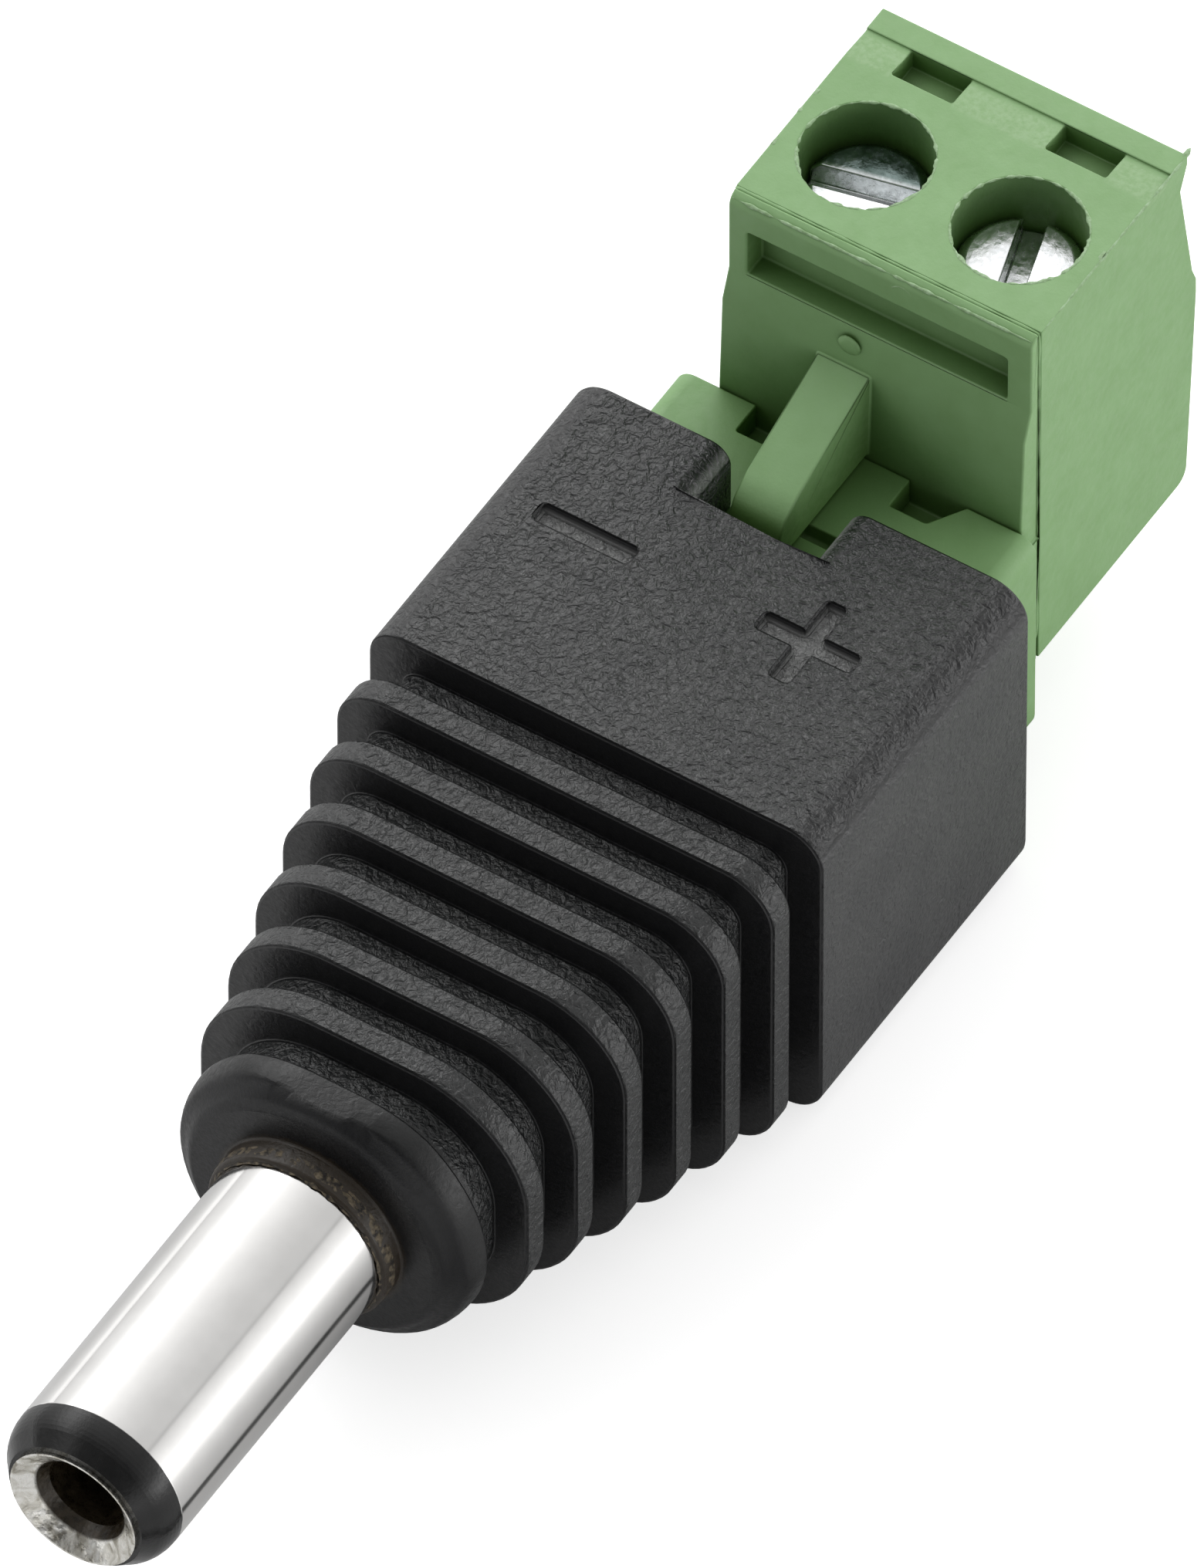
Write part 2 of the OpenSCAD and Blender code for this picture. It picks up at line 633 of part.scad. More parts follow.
boot();
barrel_sleeve();
tip_insulator();
center_contact();
rear_bush();
sleeve_lug();
minus_lead();
plus_lead();
pin_header();
minus_pin();
plus_pin();
plug_front();
plug_housing();
minus_socket();
plus_socket();
minus_cage();
plus_cage();
minus_screw();
plus_screw();
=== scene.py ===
import json
import math

import bpy
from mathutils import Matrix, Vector, noise


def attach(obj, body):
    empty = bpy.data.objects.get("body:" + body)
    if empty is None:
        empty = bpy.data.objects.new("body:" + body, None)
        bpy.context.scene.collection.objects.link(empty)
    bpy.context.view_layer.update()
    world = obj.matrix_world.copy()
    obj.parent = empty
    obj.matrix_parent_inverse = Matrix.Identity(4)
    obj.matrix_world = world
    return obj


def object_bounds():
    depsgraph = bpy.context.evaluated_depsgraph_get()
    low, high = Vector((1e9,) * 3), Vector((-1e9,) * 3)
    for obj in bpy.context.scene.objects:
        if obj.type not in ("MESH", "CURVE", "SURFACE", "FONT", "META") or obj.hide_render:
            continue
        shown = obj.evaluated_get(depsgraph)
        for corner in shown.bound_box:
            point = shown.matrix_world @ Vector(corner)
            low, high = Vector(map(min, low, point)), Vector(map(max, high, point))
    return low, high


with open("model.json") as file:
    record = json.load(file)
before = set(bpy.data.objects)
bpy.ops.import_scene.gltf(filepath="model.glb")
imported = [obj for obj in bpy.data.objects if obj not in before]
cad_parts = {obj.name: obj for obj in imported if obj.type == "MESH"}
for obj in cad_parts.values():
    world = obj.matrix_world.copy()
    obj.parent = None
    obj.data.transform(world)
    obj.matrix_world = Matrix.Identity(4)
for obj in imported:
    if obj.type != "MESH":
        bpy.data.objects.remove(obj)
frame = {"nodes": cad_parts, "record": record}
cad_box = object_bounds()
nodes = frame["nodes"]

MM = 0.001

# sizes of the part that its looks and marks follow, in millimetres
BOX_TOP = 6.14
SIGN_FLOOR = 5.84
PLUG_TOP = 11.42
PLUG_HALF_W = 5.05
PLUG_REAR = 38.6
AXIS_X = 33.66  # both screws
POLE_Y = 2.54
WELL_R = 1.975
SEAM_X = 30.80  # between the two mouldings of the plug
MARKER_FACE = 30.34

# ---------- camera ----------

CAMERA_AZIMUTH = math.radians(-57.55)
CAMERA_ELEVATION = math.radians(50.54)
CAMERA_DISTANCE = 1395.9 * MM
CAMERA_TARGET = Vector((12.80, -1.95, 8.03)) * MM
SENSOR = 36.0
FRAME_HEIGHT = 43.59 * MM  # height of the picture's view at the target


def add_camera():
    back = Vector((math.sin(CAMERA_AZIMUTH) * math.cos(CAMERA_ELEVATION),
                   -math.cos(CAMERA_AZIMUTH) * math.cos(CAMERA_ELEVATION),
                   math.sin(CAMERA_ELEVATION)))
    data = bpy.data.cameras.new("camera")
    data.sensor_width = SENSOR
    data.lens = SENSOR * CAMERA_DISTANCE / FRAME_HEIGHT
    camera = bpy.data.objects.new("camera", data)
    bpy.context.collection.objects.link(camera)
    camera.location = CAMERA_TARGET + back * CAMERA_DISTANCE
    camera.rotation_euler = back.to_track_quat("Z", "Y").to_euler()
    bpy.context.scene.camera = camera


# ---------- shader trees ----------

class Wiring:
    """Short names for the nodes of one tree. A value is a number, a colour or an output."""

    def __init__(self, tree):
        self.tree = tree

    def node(self, kind, **settings):
        node = self.tree.nodes.new(kind)
        for name, value in settings.items():
            setattr(node, name, value)
        return node

    def put(self, value, socket):
        if isinstance(value, (int, float)):
            socket.default_value = value
        elif isinstance(value, tuple):
            socket.default_value = (*value, 1.0)
        else:
            self.tree.links.new(value, socket)

    def math(self, operation, a, b=0.0):
        node = self.node("ShaderNodeMath", operation=operation)
        self.put(a, node.inputs[0])
        self.put(b, node.inputs[1])
        return node.outputs[0]

    def product(self, first, *others):
        for other in others:
            first = self.math("MULTIPLY", first, other)
        return first

    def less(self, value, mask, share):
        """Takes that share off the value where the mask is 1."""
        return self.product(value, self.math("SUBTRACT", 1.0, self.product(mask, share)))

    def length(self, a, b):
        return self.math("SQRT", self.math("ADD", self.product(a, a), self.product(b, b)))

    def distance(self, value, centre):
        """How far the value is from the centre, either way."""
        return self.math("ABSOLUTE", self.math("SUBTRACT", value, centre))

    def rescale(self, value, start, end, low=0.0, high=1.0):
        """Runs from low at start to high at end, and stays level outside."""
        node = self.node("ShaderNodeMapRange")
        for socket, number in zip(node.inputs[1:5], (start, end, low, high)):
            socket.default_value = number
        self.put(value, node.inputs[0])
        return node.outputs[0]

    def ramp(self, value, stops):
        """Colours at (position, colour) stops."""
        ramp = self.node("ShaderNodeValToRGB")
        elements = ramp.color_ramp.elements
        while len(elements) < len(stops):
            elements.new(0.5)
        for element, (position, colour) in zip(elements, stops):
            element.position = position
            element.color = (*colour, 1.0)
        self.put(value, ramp.inputs["Fac"])
        return ramp.outputs["Color"]

    def curve(self, value, stops, scale):
        """Levels of 0 to scale at (value, level) stops."""
        first, last = stops[0][0], stops[-1][0]
        greys = [((at - first) / (last - first), (level / scale,) * 3) for at, level in stops]
        return self.product(self.ramp(self.rescale(value, first, last), greys), scale)

    def axes(self, vector):
        split = self.node("ShaderNodeSeparateXYZ")
        self.put(vector, split.inputs["Vector"])
        return split.outputs

    def place(self, kind):
        return self.node("ShaderNodeTexCoord").outputs[kind]

    def ray(self, kind):
        return self.node("ShaderNodeLightPath").outputs[kind]

    def seen_straight(self):
        """1 for rays of the camera and for those through clear pieces."""
        return self.math("MAXIMUM", self.ray("Is Camera Ray"), self.ray("Is Transmission Ray"))


class Paint(Wiring):
    """Builds one procedural material around a Principled shader."""

    def __init__(self, name, roughness, metallic=0.0):
        self.material = bpy.data.materials.new(name)
        self.material.use_nodes = True
        super().__init__(self.material.node_tree)
        self.shader = self.tree.nodes["Principled BSDF"]
        self.shader.inputs["Roughness"].default_value = roughness
        self.shader.inputs["Metallic"].default_value = metallic

    def stretched(self, x, y, z):
        """Object coordinates in millimetres, scaled by x, y and z."""
        mapping = self.node("ShaderNodeMapping")
        mapping.inputs["Scale"].default_value = (x / MM, y / MM, z / MM)
        self.put(self.place("Object"), mapping.inputs["Vector"])
        return mapping.outputs["Vector"]

    def position(self):
        """Object x, y and z in millimetres."""
        return self.axes(self.stretched(1, 1, 1))

    def slopes(self):
        """Sizes of the x, y and z of the normal."""
        return [self.math("ABSOLUTE", axis) for axis in self.axes(self.place("Normal"))]

    def from_axis(self):
        """Distance in millimetres from the barrel axis."""
        y, z = self.position()[1:]
        return self.length(y, z)

    def noise(self, per_mm, detail=3.0, distortion=0.0, stretch=(1, 1, 1)):
        texture = self.node("ShaderNodeTexNoise")
        texture.inputs["Scale"].default_value = 1.0
        texture.inputs["Detail"].default_value = detail
        texture.inputs["Distortion"].default_value = distortion
        self.put(self.stretched(*(per_mm * s for s in stretch)), texture.inputs["Vector"])
        return texture.outputs["Fac"]

    def blotches(self, per_mm, low, high, start=0.3, end=0.7, detail=3.0):
        """Noise that runs between two colours."""
        return self.ramp(self.noise(per_mm, detail), [(start, low), (end, high)])

    def mix(self, amount, first, second):
        node = self.node("ShaderNodeMix", data_type="RGBA")
        self.put(amount, node.inputs["Factor"])
        self.put(first, node.inputs[6])
        self.put(second, node.inputs[7])
        return node.outputs[2]

    def set(self, name, value):
        self.put(value, self.shader.inputs[name])

    def roughness(self, texture, low, high):
        """Lets the roughness wander between low and high with a noise."""
        self.set("Roughness", self.ramp(texture, [(0.3, (low,) * 3), (0.7, (high,) * 3)]))

    def bump(self, height, distance):
        """Height of 0 to 1 stands for distance millimetres."""
        bump = self.node("ShaderNodeBump")
        bump.inputs["Distance"].default_value = distance * MM
        self.put(height, bump.inputs["Height"])
        previous = self.shader.inputs["Normal"]
        if previous.is_linked:
            self.put(previous.links[0].from_socket, bump.inputs["Normal"])
        self.put(bump.outputs["Normal"], previous)


# ---------- materials ----------

def boot_plastic():
    paint = Paint("boot_plastic", 0.42)
    x, y, z = paint.position()
    from_middle = paint.math("ABSOLUTE", y)
    slopes = paint.slopes()
    square = paint.rescale(paint.math("MAXIMUM", paint.math("MAXIMUM", slopes[0], slopes[1]), slopes[2]), 0.94, 0.99)
    rounded = paint.math("SUBTRACT", 1.0, square)  # edges and corners
    across = paint.rescale(slopes[0], 0.35, 0.75)  # walls that face along the barrel
    sides = paint.rescale(from_middle, 7.2, 7.4)  # of the box
    ribs = paint.rescale(x, 15.3, 14.9)
    nose = paint.rescale(x, 2.75, 2.55)
    sign_floor_light = paint.product(paint.rescale(z, BOX_TOP - 0.09, SIGN_FLOOR + 0.06),
                          paint.rescale(z, SIGN_FLOOR - 0.14, SIGN_FLOOR - 0.09),
                          paint.rescale(x, 16.0, 16.2), paint.rescale(from_middle, 6.9, 6.7))

    # spark-eroded grain, shallower or missing on some faces
    grain = paint.math("ADD", paint.product(paint.noise(3.4, detail=2.0, distortion=0.9), 0.7),
                       paint.product(paint.noise(6.5, detail=2.0, distortion=0.5), 0.3))
    for mask, share in ((rounded, 0.5), (across, 0.93), (sides, 0.62), (ribs, 0.3), (nose, 0.85)):
        grain = paint.less(grain, mask, share)
    paint.bump(grain, 0.36)
    paint.bump(paint.noise(14.0), 0.006)

    black = paint.blotches(0.5, (0.034, 0.035, 0.036), (0.050, 0.051, 0.051), detail=4.0)
    # painted shade: the edges and corners are painted darker
    black = paint.mix(rounded, black, (0.010, 0.0105, 0.011))
    # painted shade: the ribs are painted darker
    black = paint.mix(paint.product(ribs, 0.55), black, (0.008, 0.009, 0.009))
    # painted shade: the nose is painted darker
    black = paint.mix(paint.product(nose, 0.7), black, (0.006, 0.006, 0.006))
    # painted shade: the walls that face along the barrel are painted darker
    black = paint.mix(paint.product(across, 0.85), black, (0.006, 0.006, 0.007))
    # painted light: the floors of the sunk plus and minus marks are painted lighter, to the lightness they were
    # measured at
    black = paint.mix(sign_floor_light, black, (0.15, 0.152, 0.15))
    # brown stain round the root of the barrel
    root = paint.rescale(paint.math("ADD", paint.from_axis(), paint.product(paint.noise(2.5), 0.3)), 3.32, 3.12)
    paint.set("Base Color", paint.mix(root, black, (0.03, 0.022, 0.014)))
    paint.roughness(paint.noise(7.0, detail=4.0), 0.3, 0.48)
    paint.set("Specular IOR Level", paint.math("SUBTRACT", 0.62, paint.product(nose, 0.2)))
    return paint.material


def green_plastic():
    paint = Paint("green_plastic", 0.5)
    x, y, z = paint.position()
    green = paint.blotches(0.9, (0.25, 0.44, 0.185), (0.278, 0.48, 0.212), detail=5.0)
    # grainy blocks between the blind pockets, in front of the rear ridge
    from_pole = paint.distance(paint.math("ABSOLUTE", y), POLE_Y)
    block = paint.product(paint.rescale(from_pole, 1.0, 1.05), paint.rescale(x, 36.35, 36.5),
                          paint.rescale(x, 37.5, 37.4), paint.rescale(z, PLUG_TOP - 0.32, PLUG_TOP - 0.22))
    speckled = paint.blotches(6.0, (0.27, 0.46, 0.20), (0.38, 0.56, 0.31), 0.35, 0.65, detail=4.0)
    green = paint.mix(paint.product(block, 0.6), green, speckled)
    # painted shade: corners and recesses are painted a deeper, darker green, where green light is lost in them
    corners = paint.node("ShaderNodeAmbientOcclusion", samples=8)
    corners.inputs["Distance"].default_value = 3.6 * MM
    out_of_painted_shade = paint.rescale(corners.outputs["AO"], 0.3, 0.85)
    paint.set("Base Color", paint.mix(out_of_painted_shade, (0.075, 0.165, 0.035), green))
    paint.bump(paint.noise(2.2), 0.012)
    paint.bump(paint.noise(11.0), 0.005)
    paint.roughness(paint.noise(3.0), 0.42, 0.6)
    return paint.material


def bright_nickel():
    paint = Paint("bright_nickel", 0.1, metallic=1.0)
    paint.set("Base Color", paint.blotches(1.2, (0.80, 0.79, 0.775), (0.84, 0.83, 0.815)))
    paint.roughness(paint.noise(5.0, stretch=(0.2, 1, 1)), 0.08, 0.13)
    paint.bump(paint.noise(4.0, stretch=(0.08, 1, 1)), 0.0006)
    return paint.material


def black_insulator():
    paint = Paint("black_insulator", 0.3)
    paint.set("Base Color", paint.blotches(2.0, (0.006, 0.006, 0.006), (0.012, 0.012, 0.012)))
    paint.bump(paint.noise(9.0, detail=4.0), 0.006)
    paint.roughness(paint.noise(5.0), 0.15, 0.26)
    paint.set("Specular IOR Level", 0.42)
    return paint.material


def tinned_metal(name, brown_inside=False):
    """Streaked tin plate; the bore of the centre contact is dull and brown."""
    paint = Paint(name, 0.35, metallic=1.0)
    streaks = paint.noise(1.9, detail=6.0, distortion=1.2, stretch=(0.5, 1, 1))
    tin = paint.ramp(streaks, [(0.34, (0.34, 0.32, 0.27)), (0.46, (0.66, 0.64, 0.58)), (0.6, (0.90, 0.89, 0.85))])
    if brown_inside:
        inside = paint.rescale(paint.from_axis(), 1.52, 1.44)
        tin = paint.mix(inside, tin, paint.blotches(3.0, (0.018, 0.013, 0.007), (0.06, 0.046, 0.028)))
        paint.set("Metallic", paint.less(1.0, inside, 0.8))
    paint.set("Base Color", tin)
    paint.roughness(paint.noise(6.0), 0.2, 0.4)
    paint.bump(paint.noise(2.0, detail=3.0), 0.07)
    return paint.material


def lead(name, colour):
    paint = Paint(name, 0.5)
    paint.set("Base Color", paint.blotches(2.0, tuple(0.85 * c for c in colour), colour))
    return paint.material


def zinc():
    paint = Paint("screw_zinc", 0.22, metallic=1.0)
    bright = paint.blotches(2.0, (0.80, 0.82, 0.83), (0.90, 0.91, 0.92))
    dull = paint.ramp(paint.noise(1.6, detail=4.0),
                      [(0.35, (0.10, 0.14, 0.125)), (0.6, (0.22, 0.28, 0.27)), (0.75, (0.45, 0.52, 0.5))])
    # the half of the minus screw beyond its slot is painted in a darker, greener tone
    x, y = paint.position()[:2]
    along_slot = paint.product(paint.math("SUBTRACT", y, POLE_Y), 0.23)
    beyond = paint.rescale(paint.math("ADD", x, along_slot), 33.95, 34.25)
    paint.set("Base Color", paint.mix(paint.product(paint.rescale(y, 0.2, 0.3), beyond), bright, dull))
    paint.roughness(paint.noise(5.0, detail=4.0), 0.12, 0.32)
    paint.bump(paint.noise(4.0, detail=4.0), 0.012)
    return paint.material


def flash_plastic(name, low, high):
    paint = Paint(name, 0.6)
    paint.set("Base Color", paint.blotches(6.0, low, high, 0.38, 0.66, detail=5.0))
    paint.bump(paint.noise(8.0), 0.03)
    return paint.material


def dress():
    looks = {
        "boot_plastic": boot_plastic(),
        "green_plastic": green_plastic(),
        "bright_nickel": bright_nickel(),
        "black_insulator": black_insulator(),
        "tinned_metal": tinned_metal("tinned_metal", brown_inside=True),
        "clamp_metal": tinned_metal("clamp_metal"),
        "screw_zinc": zinc(),
        "lead_black": lead("lead_black", (0.02, 0.02, 0.02)),
        "lead_red": lead("lead_red", (0.45, 0.02, 0.02)),
    }
    for part in frame["record"]["subparts"]:
        mesh = nodes[part["node"]].data
        mesh.materials.clear()
        mesh.materials.append(looks[part["material_slot"]])


# ---------- moulded edges ----------

# width of the rounded edge, in millimetres
EDGES = {"boot": 0.1, "pin_header": 0.06, "plug_front": 0.08, "plug_housing": 0.05,
         "minus_screw": 0.05, "plus_screw": 0.05, "barrel_sleeve": 0.04}
# smallest angle that is rounded, in degrees
SHARP = 35
SHARP_ON = {"boot": 55}


def soften(name, width):
    """Rounds the sharp edges that a mould or a tool never leaves."""
    node = nodes[name]
    weld = node.modifiers.new("weld", "WELD")
    weld.merge_threshold = 1e-7
    join = node.modifiers.new("join", "DECIMATE")
    join.decimate_type = "DISSOLVE"
    join.angle_limit = math.radians(0.5)
    bevel = node.modifiers.new("round", "BEVEL")
    bevel.width = width * MM
    bevel.segments = 2
    bevel.limit_method = "ANGLE"
    bevel.angle_limit = math.radians(SHARP_ON.get(name, SHARP))
    bevel.use_clamp_overlap = False
    bevel.miter_outer = "MITER_ARC"
    node.modifiers.new("even", "WEIGHTED_NORMAL")


# ---------- small moulding marks ----------

HIGHEST_MARK = PLUG_TOP + 0.01

GREEN_FLASH = flash_plastic("green_flash", (0.27, 0.43, 0.21), (0.42, 0.60, 0.36))
BLACK_FLASH = flash_plastic("black_flash", (0.022, 0.022, 0.023), (0.04, 0.04, 0.041))
BROWN_FLASH = flash_plastic("brown_flash", (0.012, 0.009, 0.006), (0.17, 0.135, 0.085))

# body, material and slot of a mark
ON_PLUG = ("terminal", GREEN_FLASH, "green_plastic")
ON_BOOT = ("adapter", BLACK_FLASH, "boot_plastic")
ROUND_ROOT = ("adapter", BROWN_FLASH, "boot_plastic")


def as_plug():
    """On the plug, in its own green."""
    return "terminal", nodes["plug_front"].data.materials[0], "green_plastic"


def add_mesh(name, points, faces, body, material, slot):
    mesh = bpy.data.meshes.new(name)
    mesh.from_pydata([Vector((x, y, min(z, HIGHEST_MARK))) * MM for x, y, z in points], [], faces)
    mesh.polygons.foreach_set("use_smooth", [True] * len(mesh.polygons))
    mesh.materials.append(material)
    piece = bpy.data.objects.new(name, mesh)
    bpy.context.collection.objects.link(piece)
    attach(piece, body)


def wobble(point, per_mm, seed=0.0):
    """Smooth random value from -1 to 1."""
    return noise.noise(Vector(point) * per_mm + Vector((seed, 2.3 * seed, 0.0)))


def bead(name, path, radius, look, per_mm, spread, closed=False):
    """Irregular thread of flash along a path; its thickness wanders by spread."""
    points, faces = [], []
    count, sides = len(path), 6
    for i, at in enumerate(path):
        here = Vector(at)
        ahead = Vector(path[(i + 1) % count] if closed or i + 1 < count else at)
        behind = Vector(path[i - 1] if closed or i else at)
        along = (ahead - behind).normalized()
        side = along.orthogonal() if abs(along.z) > 0.9 else along.cross(Vector((0, 0, 1)))
        side.normalize()
        up = side.cross(along)
        size = radius * max(0.12, 1 + spread * 1.8 * wobble(here, per_mm, 7.0))
        if not closed:
            size *= min(1.0, 0.2 + min(i, count - 1 - i) / 4)
        for k in range(sides):
            angle = math.tau * k / sides
            points.append(here + (side * math.cos(angle) + up * math.sin(angle)) * size)
    rows = count if closed else count - 1
    for i in range(rows):
        row, following = i * sides, (i + 1) % count * sides
        for k in range(sides):
            beside = (k + 1) % sides
            faces.append((row + k, row + beside, following + beside, following + k))
    if not closed:
        faces.append(tuple(range(sides))[::-1])
        faces.append(tuple((count - 1) * sides + k for k in range(sides)))
    add_mesh(name, points, faces, *look)


def lump(name, centre, size, look, seed, rough=0.35):
    """Small uneven lump, such as a nib where a mould was trimmed."""
    points, faces = [], []
    rows, columns = 8, 14
    for i in range(rows + 1):
        tilt = math.pi * i / rows
        for k in range(columns):
            turn = math.tau * k / columns
            way = Vector((math.sin(tilt) * math.cos(turn), math.sin(tilt) * math.sin(turn), math.cos(tilt)))
            scale = 1 + rough * wobble(way, 1.6, seed)
            points.append([c + s * w * scale for c, s, w in zip(centre, size, way)])
    for i in range(rows):
        row, following = i * columns, (i + 1) * columns
        for k in range(columns):
            beside = (k + 1) % columns
            faces.append((row + k, following + k, following + beside, row + beside))
    add_mesh(name, points, faces, *look)


def straight(start, end, gap=0.08):
    """Evenly spaced points from start to end."""
    start, end = Vector(start), Vector(end)
    count = max(3, round((end - start).length / gap))
    return [start.lerp(end, i / count) for i in range(count + 1)]


def along_corners(*corners):
    path = straight(corners[0], corners[1])
    for start, end in zip(corners[1:], corners[2:]):
        path += straight(start, end)[1:]
    return path


def well_ring(side):
    """Rim of one screw's well, just short of a full turn."""
    count = 120
    turns = [math.radians(357 * i / count) for i in range(count + 1)]
    return [(AXIS_X + WELL_R * math.cos(turn), side * POLE_Y + WELL_R * math.sin(turn), PLUG_TOP - 0.03)
            for turn in turns]


# nibs left where the plug was trimmed, along the top edges of its sides: x, y and size
NIBS = ((34.1, -4.98, 0.16), (34.9, 4.96, 0.13), (34.1, 5.0, 0.12), (32.7, 4.98, 0.14), (38.55, -4.96, 0.14))


def add_top_marks():
    for pole, side in (("minus", 1), ("plus", -1)):
        bead(pole + "_well_flash", well_ring(side), 0.045, ON_PLUG, 5.5, 1.1, closed=True)
    for i, (x, y, size) in enumerate(NIBS):
        lump(f"top_nib_{i + 1}", (x, y, PLUG_TOP - 0.07), (size * 1.5, size * 0.55, size * 0.8), ON_PLUG, seed=i)


def add_seam_skin():
    """Thin skin of moulding that closes the seam behind the marker face."""
    x, half_w, top, foot = SEAM_X - 0.04, PLUG_HALF_W - 0.075, PLUG_TOP - 0.075, -2.0
    path = along_corners((x, -half_w, foot), (x, -half_w, top), (x, half_w, top), (x, half_w, foot))
    bead("seam_skin", path, 0.07, as_plug(), 1.5, 0.25)


# marks on the plug's front: the half ring of an ejector pin, and the dome where the mould was filled
EJECTOR_Y, EJECTOR_Z = -0.72, 10.72
GATE = (30.13, 0.86, 7.76)


def add_front_marks():
    x, half_w, z = MARKER_FACE + 0.1, PLUG_HALF_W - 0.1, PLUG_TOP - 0.13
    bead("brow_flash", straight((x, -half_w, z), (x, half_w, z), 0.06), 0.045, ON_PLUG, 2.4, 1.0)
    y, z = -PLUG_HALF_W + 0.01, PLUG_TOP - 0.02
    bead("side_flash", straight((SEAM_X + 0.1, y, z), (PLUG_REAR, y, z), 0.06), 0.035, ON_PLUG, 2.2, 1.0)
    turns = [math.radians(4 + 172 * i / 24) for i in range(25)]
    mark = [(MARKER_FACE + 0.02, EJECTOR_Y + 0.36 * math.cos(turn), EJECTOR_Z + 0.33 * math.sin(turn))
            for turn in turns]
    bead("ejector_mark", mark, 0.028, ON_PLUG, 3.0, 0.3)
    lump("gate_dome", GATE, (0.12, 0.38, 0.38), as_plug(), seed=4, rough=0.08)


def add_root_flash():
    """Uneven skin of moulding round the root of the barrel."""
    points, faces = [], []
    around, along = 120, 6
    back, middle_r = 0.5, 2.955
    for k in range(around):
        turn = math.tau * k / around
        way = Vector((0, math.cos(turn), math.sin(turn)))
        spot = way * 3
        front = -0.02 - 0.09 * abs(wobble(spot, 2.2)) - 0.05 * wobble(spot, 5.0, 3.0)
        for i in range(along + 1):
            x = back + (front - back) * i / along
            at = (x, spot.y, spot.z)
            swell = 0.035 * wobble(at, 3.2, 5.0) + 0.02 * wobble(at, 8.0, 1.0)
            radius = middle_r + swell - 0.18 * max(0.0, (i - 3) / 3) ** 2
            points.append((x, way.y * radius, way.z * radius))
    for k in range(around):
        for i in range(along):
            a = k * (along + 1) + i
            b = (k + 1) % around * (along + 1) + i
            faces.append((a, b, b + 1, a + 1))
    add_mesh("root_flash", points, faces, *ROUND_ROOT)


def add_mould_line():
    """Thin line where the halves of the boot's mould meet, over the nose and the end cone."""
    path = along_corners((0.84, 0.0, 3.96), (1.27, 0.0, 4.46), (2.24, 0.0, 4.49))
    bead("mould_line", path, 0.03, ON_BOOT, 1.5, 0.6)


def add_marks():
    add_mould_line()
    add_root_flash()
    add_top_marks()
    add_seam_skin()
    add_front_marks()


# ---------- studio ----------

# brightness of the soft boxes round the barrel's own axis: degrees from straight up
# towards -Y, and the brightness there
GLOW_SCALE = 4.0
GLOW = [(-180, 0.5), (-98, 0.62), (-93, 0.4), (-87, 0.82), (-72, 1.02), (-65, 1.25), (-45, 3.5),
        (-26, 1.25), (-15, 1.07), (0, 0.88), (12, 0.78), (30, 0.69), (46, 0.67), (49.2, 0.52),
        (52, 0.78), (62, 1.0), (73, 1.3), (80, 3.4), (94, 3.4), (100, 1.2), (180, 0.5)]
# the far side, towards the screw terminal, is brighter than the near one: x of the direction
FAR_SIDE_SCALE = 2.0
FAR_SIDE = [(-1.0, 0.15), (-0.6, 0.25), (-0.1, 0.75), (0.5, 1.0), (1.0, 1.15)]

FLOOR_SIZE = 6.0  # metres
FLOOR_GAP = 0.01 * MM
# in millimetres
SHADOW_LINE_Y = -7.6  # painted shadow: dark line on the floor that only metal sees
BARREL_X = -4.0  # middle of that line along X
PART_X = 13.0  # middle of the part


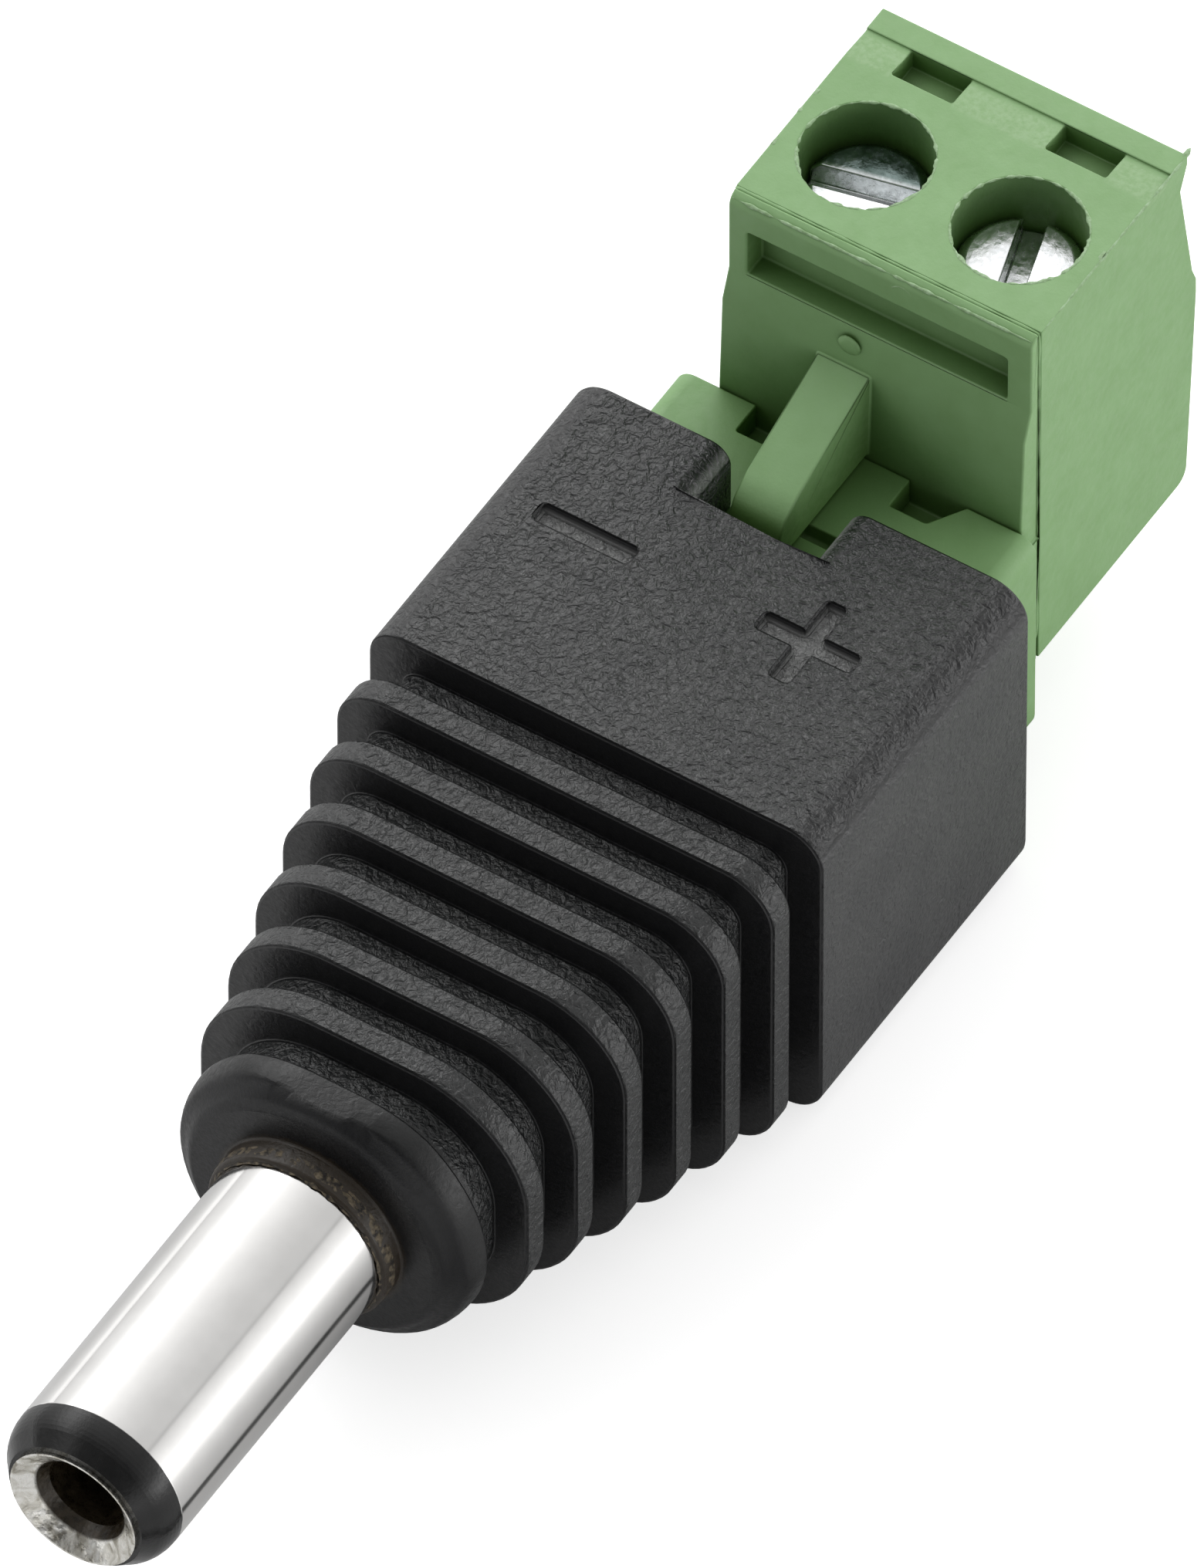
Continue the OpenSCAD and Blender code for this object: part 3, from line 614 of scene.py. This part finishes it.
def add_floor():
    bpy.ops.mesh.primitive_plane_add(size=FLOOR_SIZE)
    floor = bpy.context.object
    floor.name = "floor"
    floor.location = (0, 0, cad_box[0][2] - FLOOR_GAP)
    paint = Paint("floor_white", 0.9)
    paint.set("Specular IOR Level", 0.0)
    paint.set("Emission Color", (1, 1, 1))
    x, y = (paint.math("DIVIDE", axis, MM) for axis in paint.axes(paint.place("Object"))[:2])
    glossy = paint.ray("Is Glossy Ray")
    # painted shadow for reflections only: the floor is painted darker along a line beside the barrel
    reflected_shadow_line = paint.product(paint.rescale(paint.distance(y, SHADOW_LINE_Y), 1.1, 0.5),
                           paint.rescale(paint.distance(x, BARREL_X), 14.0, 11.0), glossy)
    paint.set("Base Color", paint.rescale(reflected_shadow_line, 0, 1, 0.8, 0.1))
    # painted light for reflections only: farther off, the floor glows, so metal sees a brighter floor
    past_ends = paint.math("MAXIMUM", paint.math("SUBTRACT", paint.distance(x, PART_X), 20.0))
    reflected_glow = paint.product(glossy, paint.rescale(paint.length(y, past_ends), 16, 80, 0.0, 0.5))
    paint.set("Emission Strength", paint.math("ADD", paint.product(paint.seen_straight(), 0.66), reflected_glow))
    # clear from underneath, so that the part can be seen from below
    surface = paint.node("ShaderNodeMixShader")
    paint.put(paint.node("ShaderNodeNewGeometry").outputs["Backfacing"], surface.inputs["Fac"])
    paint.put(paint.shader.outputs["BSDF"], surface.inputs[1])
    paint.put(paint.node("ShaderNodeBsdfTransparent").outputs["BSDF"], surface.inputs[2])
    paint.put(surface.outputs["Shader"], paint.tree.nodes["Material Output"].inputs["Surface"])
    floor.data.materials.append(paint.material)


def add_world():
    world = bpy.data.worlds.new("studio")
    world.use_nodes = True
    bpy.context.scene.world = world
    wires = Wiring(world.node_tree)
    background = wires.tree.nodes["Background"]
    wires.put((1, 1, 1), background.inputs["Color"])
    x, y, z = wires.axes(wires.place("Generated"))
    turn = wires.math("DEGREES", wires.math("ARCTAN2", wires.product(y, -1.0), z))
    light = wires.product(wires.curve(turn, GLOW, GLOW_SCALE), wires.curve(x, FAR_SIDE, FAR_SIDE_SCALE))
    seen = wires.seen_straight()
    wires.put(wires.math("ADD", wires.less(light, seen, 1.0), seen), background.inputs["Strength"])


def add_studio():
    add_floor()
    add_world()
    bpy.context.scene.view_settings.view_transform = "Standard"


add_camera()
dress()
for name, width in EDGES.items():
    soften(name, width)
add_marks()
add_studio()
